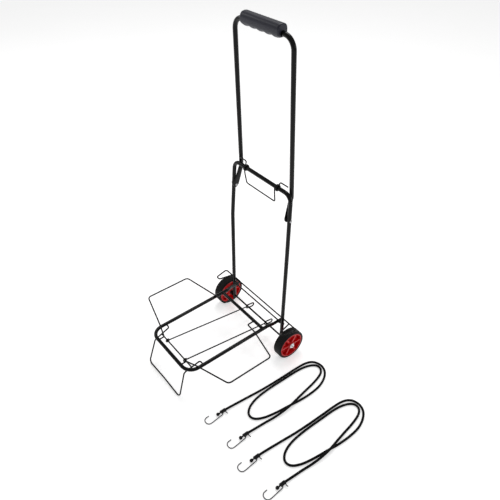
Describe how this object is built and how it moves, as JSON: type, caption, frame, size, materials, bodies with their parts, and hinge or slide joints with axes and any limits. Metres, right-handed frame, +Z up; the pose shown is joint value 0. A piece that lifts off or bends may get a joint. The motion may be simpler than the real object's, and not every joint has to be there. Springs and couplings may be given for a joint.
{
  "type": "folding luggage cart",
  "caption": "Folding luggage cart: a bent-tube handle and lower frame on a wheeled axle, a fold-up platform with side wings and a wire front stand, and hooked elastic cords.",
  "frame": {"origin": "on the floor, under the middle of the unfolded cart without its loose cords", "axes": "+Z up, +X along the wheels' axle, -Y towards the front of the platform; the handle stands over the axle at +Y"},
  "size_m": [0.7211, 0.4213, 1.0036],
  "materials": {
    "black_tube": "gloss black paint on steel tube",
    "black_wire": "gloss black paint on steel wire",
    "black_plastic": "black moulded plastic",
    "zinc": "bright zinc plate",
    "grip": "satin blue-black moulded plastic",
    "tyre": "ribbed black tread",
    "red_plastic": "gloss red moulded plastic",
    "cord": "woven black elastic cover",
    "hook_wire": "bare steel wire"
  },
  "bodies": {
    "frame": {"lower_frame": "black_tube", "leg_plug_l": "black_plastic", "leg_plug_r": "black_plastic", "handle_rivet_l": "zinc", "handle_rivet_r": "zinc", "handle_washer_l": "black_plastic", "handle_washer_r": "black_plastic", "deck_rivet_l": "black_tube", "deck_rivet_r": "black_tube", "deck_spacer_l": "black_plastic", "deck_spacer_r": "black_plastic", "axle": "black_tube", "axle_spacer_l": "black_plastic", "axle_spacer_r": "black_plastic", "axle_cap_l": "zinc", "axle_cap_r": "zinc", "cord_1": "cord", "cord_1_hook_a": "hook_wire", "cord_1_hook_b": "hook_wire", "cord_1_knob_a": "black_plastic", "cord_1_knob_b": "black_plastic", "cord_2": "cord", "cord_2_hook_a": "hook_wire", "cord_2_hook_b": "hook_wire", "cord_2_knob_a": "black_plastic", "cord_2_knob_b": "black_plastic"},
    "handle": {"handle_tube": "black_tube", "grip": "grip"},
    "latch": {"latch_wire": "black_wire"},
    "platform": {"deck_tube": "black_tube", "deck_crossbar": "black_tube", "guard_wire": "black_wire", "cross_wire": "black_wire"},
    "stand": {"stand_wire": "black_wire", "crank_bar": "black_wire"},
    "links": {"link_l": "black_wire", "link_r": "black_wire"},
    "wing_left": {"wing_l": "black_wire"},
    "wing_right": {"wing_r": "black_wire"},
    "wheel_left": {"tyre_l": "tyre", "hub_l": "red_plastic"},
    "wheel_right": {"tyre_r": "tyre", "hub_r": "red_plastic"}
  },
  "joints": [
    {"name": "wheel_left_spin", "type": "hinge", "parent": "frame", "child": "wheel_left", "pos_m": [-0.159, 0.1598, 0.05], "axis": [1, 0, 0], "continuous": true},
    {"name": "wheel_right_spin", "type": "hinge", "parent": "frame", "child": "wheel_right", "pos_m": [0.159, 0.1598, 0.05], "axis": [1, 0, 0], "continuous": true},
    {"name": "handle_fold", "type": "hinge", "parent": "frame", "child": "handle", "pos_m": [0, 0.16759, 0.503], "axis": [-1, 0, 0], "range_deg": [0, 177]},
    {"name": "latch_swing", "type": "hinge", "parent": "frame", "child": "latch", "pos_m": [0, 0.1707, 0.5787], "axis": [1, 0, 0], "range_deg": [0, 80]},
    {"name": "platform_fold", "type": "hinge", "parent": "frame", "child": "platform", "pos_m": [0, 0.16044, 0.1104], "axis": [-1, 0, 0], "range_deg": [0, 78]},
    {"name": "stand_fold", "type": "hinge", "parent": "platform", "child": "stand", "pos_m": [0, -0.1257, 0.105], "axis": [1, 0, 0], "range_deg": [0, 101.4]},
    {"name": "link_swing", "type": "hinge", "parent": "stand", "child": "links", "pos_m": [0, -0.1547, 0.09622], "axis": [-1, 0, 0], "range_deg": [0, 89.9]},
    {"name": "wing_right_fold", "type": "hinge", "parent": "platform", "child": "wing_right", "pos_m": [0.062, -0.0402, 0.1069], "axis": [0, -0.9998, -0.0195], "range_deg": [0, 158]},
    {"name": "wing_left_fold", "type": "hinge", "parent": "platform", "child": "wing_left", "pos_m": [-0.062, -0.0402, 0.1069], "axis": [0, 0.9998, 0.0195], "range_deg": [0, 146]}
  ],
  "couplings": [
    {"joint": "stand_fold", "follows": "platform_fold", "ratio": 1.3},
    {"joint": "link_swing", "follows": "platform_fold", "ratio": 1.152}
  ]
}
